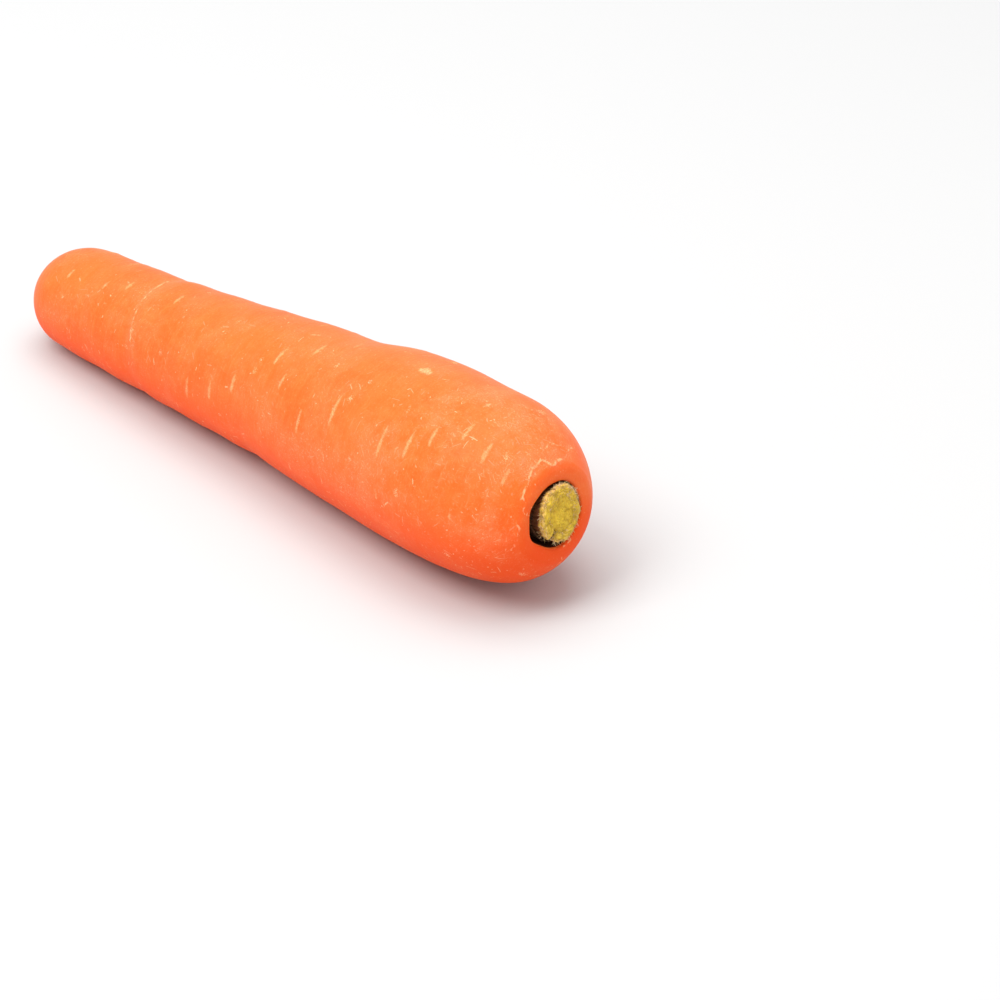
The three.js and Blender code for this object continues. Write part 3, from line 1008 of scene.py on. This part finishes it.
def make_stub_mesh():
    columns = 232
    angle = np.arange(columns) / columns * math.tau
    radius, height, zone = stub_rows(angle)
    rows = len(zone) // columns
    around = np.tile(angle, rows)
    side, lift = radius * np.cos(around), radius * np.sin(around)
    flat = np.stack([side, lift, np.zeros_like(side)], axis=-1)
    outer_turn, inner_turn = 360 / OUTER_STALKS, 360 / INNER_STALKS
    edges = [math.radians(FIRST_STALK + outer_turn * (i + 0.5) + uneven)
             for i, uneven in enumerate((3, -5, 6, -3, 2))]
    inner_edges = [math.radians(FIRST_STALK + inner_turn * i + 20) for i in range(INNER_STALKS)]

    wobble = roughness_of(flat, 0.35, 2, 3.0)
    ring_gap = np.abs(radius - INNER_REACH - 0.5 * wobble)
    outer_gap = np.min([np.abs(turn(around, a + 0.15 * wobble)) for a in edges], axis=0) * radius
    inner_gap = np.min([np.abs(turn(around, a)) for a in inner_edges], axis=0) * radius
    cleft = np.where(radius > INNER_REACH, bump(outer_gap, 0.3), bump(inner_gap, 0.2))
    cleft = np.maximum(cleft * (radius > 1.0), bump(ring_gap, 0.25) * 0.8)
    deep = bump(turn(around, math.radians(DEEP_CLEFT)) * radius, 0.5)
    deep = deep * smoothstep(radius, 3.0, 4.6)
    strands = np.sin((radius + 0.9 * wobble) * math.tau / 0.62 + 2 * np.sin(3 * around))
    chopped = cells_of((radius + 0.8 * wobble) / 0.42, around * (1.5 + radius) / 0.8)
    rough = roughness_of(flat, 1.1, 4, 8.0)
    fine = roughness_of(flat, 3.2, 3, 15.0)
    swirl = np.sin(1.9 * lift + 1.5 * side + 2.6 * wobble + 1.2 * rough)
    cut = 0.08 * strands + 0.12 * (chopped - 0.5) + 0.2 * rough + 0.1 * fine + 0.12 * swirl
    cut = cut - 0.17 * cleft - 1.9 * deep
    cut = cut - 0.28 * smoothstep(radius / STUB_RADIUS, 0.84, 1.02)
    cut = cut + 0.25 * bump(radius - 4.9, 1.2) - 0.06 * lift / STUB_RADIUS
    cut = cut * smoothstep(radius, 0, 0.5)
    height = np.where(zone == FACE, height + cut, height)
    edge_cut = np.tile(cut.reshape(rows, columns)[FACE_ROWS - 1], rows)
    height = np.where(zone == FLANK, height + edge_cut * height / STUB_HEIGHT, height)
    points = in_stub(height, radius, around)
    flank_rough = roughness_of(points, 0.9, 4, 21.0)
    ribs = np.sin(around * 46 + 3 * flank_rough) * 0.05
    push = np.where(zone == FLANK, 0.16 * flank_rough + ribs, 0)
    outward = np.stack([np.zeros_like(side), np.cos(around), np.sin(around)], axis=-1)
    points = points + outward * push[:, None]

    mesh = bpy.data.meshes.new("cut_leaf_stalks")
    faces = lattice_faces(rows, columns)
    centre = in_stub(np.array([STUB_HEIGHT - 0.25, 0.0]), np.zeros(2), np.zeros(2))
    top, foot = len(points), len(points) + 1
    faces += [(top, (i + 1) % columns, i) for i in range(columns)]
    last = (rows - 1) * columns
    faces += [(foot, last + i, last + (i + 1) % columns) for i in range(columns)]
    mesh.from_pydata([tuple(p) for p in np.vstack([points, centre]) * MM], [], faces)
    mesh.update()
    yellow = bump(np.hypot(side + 0.8, lift + 0.5) - 0.9, 0.9)
    yellow = np.maximum(yellow, 0.6 * bump(np.hypot(side - 1.8, lift - 2.6), 1.6))
    # Painted shade: dark lines in the clefts between the stalks, darkest in the deep cleft, kept
    # as cleft.
    shade = np.clip(cleft * 0.2 + deep, 0, 1)
    # brown: painted shade in the deep cleft of the face, browner towards the foot down the
    # flank, brown under the foot.
    browner_towards_foot = smoothstep(-height, -STUB_HEIGHT + 0.9, -4.6)
    brown = np.where(zone == UNDER, 1, np.where(zone == FACE, 0.9 * deep, browner_towards_foot))
    edge = np.where(zone == FACE, smoothstep(radius / STUB_RADIUS, 0.86, 1.0), 0)
    edge = np.maximum(edge, np.where(zone == FLANK, 1 - brown, 0))
    threads = np.clip(0.5 + 0.3 * strands + 0.45 * swirl, 0, 1)
    kept = {"yellow": yellow, "cleft": shade, "brown": brown, "edge": edge, "strand": threads}
    for name, values in kept.items():
        foot_value = 1.0 if name == "brown" else 0.0
        keep_number(mesh, name, np.concatenate([values, [0.0, foot_value]]))
    mesh.polygons.foreach_set("use_smooth", [True] * len(mesh.polygons))
    return mesh


STALK_GREEN = (0.71, 0.455, 0.038, 1)
STALK_DARK = (0.53, 0.315, 0.032, 1)
STALK_YELLOW = (0.90, 0.62, 0.050, 1)
STALK_PALE = (0.80, 0.50, 0.20, 1)
STALK_BROWN = (0.22, 0.070, 0.022, 1)


def make_stalk_material():
    material, tree, shader, position = material_tree("cut_green_stalk")
    patches = noise_field(tree, position, 420.0, 1.0, 4.0, 0.65)
    strings = noise_field(tree, position, 2400.0, 2.0, 3.0, 0.6)
    strand = mesh_number(tree, "strand")
    colour = mixed(tree, patches.between(0.36, 0.62), STALK_DARK, STALK_GREEN)
    shine = strings.between(0.42, 0.7) * 0.4 + strand * 0.4
    colour = mixed(tree, shine, colour, STALK_YELLOW)
    colour = mixed(tree, mesh_number(tree, "yellow") * 0.65, colour, STALK_YELLOW)
    pale = mesh_number(tree, "edge") * strings.between(0.38, 0.62)
    colour = mixed(tree, pale * 0.85, colour, STALK_PALE)
    # Brown as painted shade in the deep cleft; on the flank it grows browner towards the foot.
    brown = (mesh_number(tree, "brown") + (patches - 0.5) * 0.6).between(0.2, 0.8)
    colour = mixed(tree, brown, colour, STALK_BROWN)
    # Painted shade in the clefts between the stalks, nearly black in the deep cleft.
    painted_cleft_shade = mesh_number(tree, "cleft") * 0.7
    colour = mixed(tree, painted_cleft_shade, colour, (0.06, 0.03, 0.008, 1))
    feed(tree, colour, shader.inputs["Base Color"])
    feed(tree, 0.55 + 0.3 * strings, shader.inputs["Roughness"])
    roughen(tree, shader, 0.7, 0.00025, strings + patches * 0.6)
    set_inputs(
        shader,
        Subsurface_Weight=0.15,
        Subsurface_Radius=(1.0, 0.7, 0.15),
        Subsurface_Scale=0.0008,
        Specular_IOR_Level=0.35,
    )
    return material


stub = add_object("cut_leaf_stalks", make_stub_mesh())
stub.data.materials.append(make_stalk_material())
move_mesh(stub.data, TO_FRAME)
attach(stub, "root")
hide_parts("leaf_stalk_stub")

# The dry leaf bases. Brown papery scales, left from the first leaves, that grow out of the
# crown's floor round the stub's foot. They dried up and tore, and they stand in the groove
# between the stub and the rim as a ragged cup.
CUP_SIZES = {
    "Scales": 34,
    "Foot radius": 6.85,
    "Scale width": 2.3,
    "Scale height": 3.4,
    "Thickness": 0.16,
    "Raggedness": 1.0,
    "Taller side": 1.3,
    "Seed": 5,
}


def scale_cup_tree(material):
    """Stands curved, torn scales in a ring, each turned and tipped a little."""
    tree, _, size = new_growth("ring_of_scales", CUP_SIZES)
    seed = size["Seed"]
    sheet = add_node(
        tree,
        "GeometryNodeMeshGrid",
        {"Size X": 1.0, "Size Y": 1.0, "Vertices X": 9, "Vertices Y": 10},
    )
    position = tree.nodes.new("GeometryNodeInputPosition").outputs[0]
    flat = add_node(tree, "ShaderNodeSeparateXYZ", {"Vector": position})
    across = Field(tree, flat.outputs[0])
    up = Field(tree, flat.outputs[1]) + 0.5
    torn = noise_field(tree, triple(tree, across * 9.0, 0.0, 0.0), 1.0, 2.0, 2.0) - 0.5
    narrow = 1.0 - up * up * 0.45
    y = across * size["Scale width"] * narrow
    x = up * size["Scale height"] * (1.0 + torn * size["Raggedness"])
    z = -(across * across) * 1.1 + up * up * 0.25
    shaped = moved_to(tree, sheet.outputs["Mesh"], triple(tree, x, y, z))
    thick = add_node(
        tree,
        "GeometryNodeExtrudeMesh",
        {"Mesh": shaped, "Offset Scale": size["Thickness"], "Individual": False},
    )
    back = add_node(tree, "GeometryNodeFlipFaces", {"Mesh": shaped})
    both = add_node(tree, "GeometryNodeJoinGeometry")
    tree.links.new(thick.outputs["Mesh"], both.inputs[0])
    tree.links.new(back.outputs[0], both.inputs[0])
    spots = add_node(tree, "GeometryNodeMeshLine", {"Count": size["Scales"]})
    index = Field(tree, tree.nodes.new("GeometryNodeInputIndex").outputs[0])
    jitter = random_between(tree, -0.35, 0.35, seed)
    angle = (index + jitter) * math.tau / size["Scales"]
    ring = size["Foot radius"] + random_between(tree, -0.2, 0.2, seed, 1)
    place = triple(tree, 0.0, ring * angle.cosine(), ring * angle.sine())
    tip = random_between(tree, -0.06, 0.12, seed, 2)
    turned = triple(tree, angle - math.pi / 2, 0.0, tip)
    taller = angle.turned_from(math.radians(215)).bump(0.7) * size["Taller side"]
    tall = random_between(tree, 0.7, 1.15, seed, 3) + taller * 0.35
    set_out = add_node(
        tree,
        "GeometryNodeInstanceOnPoints",
        {
            "Points": moved_to(tree, spots.outputs[0], place),
            "Instance": merged(tree, both.outputs[0], 0.001),
            "Rotation": turned,
            "Scale": triple(tree, tall, random_between(tree, 0.75, 1.2, seed, 4), 1.0),
        },
    )
    finish_growth(tree, set_out.outputs[0], material)
    return tree


def make_scale_material():
    material, tree, shader, position = material_tree("dry_brown_leaf_base")
    blotch = noise_field(tree, position, 500.0, 1.0, 4.0, 0.6)
    ribbed = stretched(tree, position, (0.002, 0.00025, 0.00025))
    veins = noise_field(tree, ribbed, 1.0, 2.0, 2.0)
    colour = mixed(
        tree, blotch.between(0.35, 0.65), (0.030, 0.012, 0.005, 1), (0.17, 0.065, 0.022, 1)
    )
    colour = mixed(tree, veins.between(0.5, 0.75) * 0.5, colour, (0.42, 0.24, 0.10, 1))
    feed(tree, colour, shader.inputs["Base Color"])
    feed(tree, 0.65 + 0.25 * blotch, shader.inputs["Roughness"])
    roughen(tree, shader, 0.6, 0.0002, veins)
    return material


def place_in_crown(mesh, foot):
    """Moves a ring made round the X axis to its place along the root's axis."""
    points = read_points(mesh) / MM
    placed = beside_axis(points[:, 0] + foot, points[:, 1], points[:, 2])
    mesh.vertices.foreach_set("co", (placed * MM).ravel())
    mesh.update()


cup = grow(
    "dry_leaf_bases",
    bpy.data.meshes.new("cup_start"),
    scale_cup_tree(make_scale_material()),
    CUP_SIZES,
)
place_in_crown(cup.data, STUB_FOOT)
move_mesh(cup.data, TO_FRAME)
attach(cup, "root")
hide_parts("dry_leaf_cup")

# The frayed fibres. Strings of the cut stalks, pale and curled, that stick out all round the
# edge of the cut and in tufts at its lower left. They belong to the stub and grow from it.
FIBRE_SIZES = {
    "Fibres": 1500,
    "Edge radius": 5.9,
    "Length": 0.85,
    "Thickness": 0.12,
    "Curl": 0.9,
    "Seed": 12,
}


def fibre_tree(material):
    """Sets tapered, curled strings round the edge of the cut, each pointing outwards."""
    tree, _, size = new_growth("frayed_edge", FIBRE_SIZES)
    seed = size["Seed"]
    string = add_node(
        tree, "GeometryNodeCurvePrimitiveLine", {"Start": (0, 0, 0), "End": (1, 0, 0)}
    )
    steps = add_node(tree, "GeometryNodeResampleCurve", {"Curve": string.outputs[0], "Count": 6})
    factor = share_along(tree)
    bow = factor * factor * size["Curl"]
    wave = (factor * 5.0).sine() * 0.12
    curled = moved_to(tree, steps.outputs[0], triple(tree, factor, wave, bow))
    thin = add_node(
        tree,
        "GeometryNodeSetCurveRadius",
        {"Curve": curled, "Radius": 1.0 - 0.75 * factor},
    )
    ring = add_node(tree, "GeometryNodeCurvePrimitiveCircle", {"Resolution": 4})
    feed(tree, size["Thickness"] * 0.5, ring.inputs["Radius"])
    blade = add_node(
        tree,
        "GeometryNodeCurveToMesh",
        {"Curve": thin.outputs[0], "Profile Curve": ring.outputs[0], "Fill Caps": True,
         "Scale": 1.0 - 0.75 * factor},
    )
    spots = add_node(tree, "GeometryNodeMeshLine", {"Count": size["Fibres"]})
    angle = random_between(tree, 0.0, math.tau, seed)
    angle = angle + 0.05 * (angle * 23.0).sine() + 0.3 * (angle - math.radians(218)).sine()
    tuft = angle.turned_from(math.radians(215)).bump(0.45)
    parted = angle.turned_from(math.radians(DEEP_CLEFT)).bump(0.09)
    inward = random_between(tree, 0.0, 1.0, seed, 1)
    reach = size["Edge radius"] - inward * inward * 2.2
    height = STUB_HEIGHT - 0.55 - random_between(tree, 0.0, 1.0, seed, 2)
    height = height + inward * 0.5 - tuft * random_between(tree, 0.0, 1.4, seed, 3)
    place = triple(tree, height, reach * angle.cosine(), reach * angle.sine())
    out = random_between(tree, -1.7, 1.7, seed, 4)
    proud = random_between(tree, -0.9, 0.35, seed, 5)
    roll = random_between(tree, 0.0, math.tau, seed, 6)
    outward = triple(tree, 0.0, (angle + out).cosine(), (angle + out).sine())
    aimed = add_node(
        tree, "FunctionNodeAlignRotationToVector", {"Vector": outward}, axis="X"
    )
    turned = add_node(
        tree,
        "FunctionNodeRotateRotation",
        {"Rotation": aimed.outputs[0], "Rotate By": triple(tree, roll, proud, 0.0)},
        rotation_space="LOCAL",
    )
    long = size["Length"] * random_between(tree, 0.45, 1.2, seed, 7) * (1.0 - inward * 0.5)
    long = long * (1.0 + 0.35 * tuft) * (1.0 - 0.95 * parted)
    set_out = add_node(
        tree,
        "GeometryNodeInstanceOnPoints",
        {
            "Points": moved_to(tree, spots.outputs[0], place),
            "Instance": blade.outputs[0],
            "Rotation": turned.outputs[0],
            "Scale": triple(tree, long, random_between(tree, 0.6, 1.3, seed, 8), 1.0),
        },
    )
    finish_growth(tree, set_out.outputs[0], material)
    return tree


def make_fibre_material():
    material, tree, shader, position = material_tree("pale_stalk_fibre")
    age = noise_field(tree, position, 700.0, 4.0, 3.0, 0.6)
    colour = mixed(tree, age.between(0.38, 0.6), (0.56, 0.38, 0.12, 1), (0.90, 0.67, 0.40, 1))
    feed(tree, colour, shader.inputs["Base Color"])
    feed(tree, 0.5 + 0.3 * age, shader.inputs["Roughness"])
    set_inputs(shader, Specular_IOR_Level=0.35)
    return material


def spread_like_stub(mesh):
    """Gives points set round an even ring the stub's own spread and lean."""
    points = read_points(mesh) / MM
    placed = in_stub(
        points[:, 0], np.hypot(points[:, 1], points[:, 2]),
        np.arctan2(points[:, 2], points[:, 1]),
    )
    mesh.vertices.foreach_set("co", (placed * MM).ravel())
    mesh.update()


fibres = grow(
    "frayed_stalk_fibres",
    bpy.data.meshes.new("fibre_start"),
    fibre_tree(make_fibre_material()),
    FIBRE_SIZES,
)
spread_like_stub(fibres.data)
move_mesh(fibres.data, TO_FRAME)
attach(fibres, "root")

# The floor and the light: a plain pale surface under a white sky, with a large soft lamp
# overhead and another in front, at the camera's left.
FLOOR_HALF = 4.0
floor_mesh = bpy.data.meshes.new("pale_floor")
floor_mesh.from_pydata(
    [(-FLOOR_HALF, -FLOOR_HALF, 0), (FLOOR_HALF, -FLOOR_HALF, 0),
     (FLOOR_HALF, FLOOR_HALF, 0), (-FLOOR_HALF, FLOOR_HALF, 0)],
    [],
    [(0, 1, 2, 3)],
)
floor = add_object("pale_floor", floor_mesh)
floor_material, _, floor_shader, _ = material_tree("white_board")
floor_shader.inputs["Base Color"].default_value = (0.55, 0.55, 0.55, 1)
floor_shader.inputs["Roughness"].default_value = 0.7
floor_mesh.materials.append(floor_material)

sky = bpy.data.worlds.new("white_sky")
sky.use_nodes = True
sky.node_tree.nodes["Background"].inputs["Color"].default_value = (1, 1, 1, 1)
sky.node_tree.nodes["Background"].inputs["Strength"].default_value = 0.82
bpy.context.scene.world = sky


def soft_lamp(name, place, size, power):
    """A square lamp that points at the middle of the carrot."""
    light = bpy.data.lights.new(name, "AREA")
    light.shape = "SQUARE"
    light.size = size
    light.energy = power
    lamp = add_object(name, light)
    lamp.location = place
    aim = Vector((0, 0, 0.02)) - Vector(place)
    lamp.rotation_euler = aim.to_track_quat("-Z", "Y").to_euler()


soft_lamp("overhead_lamp", (-0.08, 0.05, 1.1), 0.9, 8.5)
soft_lamp("front_lamp", (-0.08, -0.76, 1.15), 0.7, 12.0)

# The camera. It stands 1.5 m away, 30 degrees above the floor, on the crown's side.
VIEW_FROM = math.radians(48)
VIEW_ABOVE = math.radians(30)
VIEW_DISTANCE = 1.5
FOCAL_PIXELS = 6060
PICTURE = 1000
SENSOR = 36  # in millimetres
CARROT_AT = (300.5, 391.5)  # where the middle of the carrot lies in the picture
right = Vector((math.cos(VIEW_FROM), math.sin(VIEW_FROM), 0))
level = Vector((math.sin(VIEW_FROM), -math.cos(VIEW_FROM), 0))
back = level * math.cos(VIEW_ABOVE) + Vector((0, 0, math.sin(VIEW_ABOVE)))
up = back.cross(right)
beside = (CARROT_AT[0] - PICTURE / 2) / FOCAL_PIXELS * VIEW_DISTANCE
above = (PICTURE / 2 - CARROT_AT[1]) / FOCAL_PIXELS * VIEW_DISTANCE
middle = Vector((0.000552, 0.0009, 0.02))
lens = bpy.data.cameras.new("camera")
lens.sensor_width = SENSOR
lens.lens = SENSOR * FOCAL_PIXELS / PICTURE
lens.clip_start = 0.05
lens.clip_end = 20
camera = add_object("camera", lens)
camera.matrix_world = Matrix.Translation(
    middle - right * beside - up * above + back * VIEW_DISTANCE
) @ Matrix((right, up, back)).transposed().to_4x4()
bpy.context.scene.camera = camera
bpy.context.scene.view_settings.view_transform = "Standard"
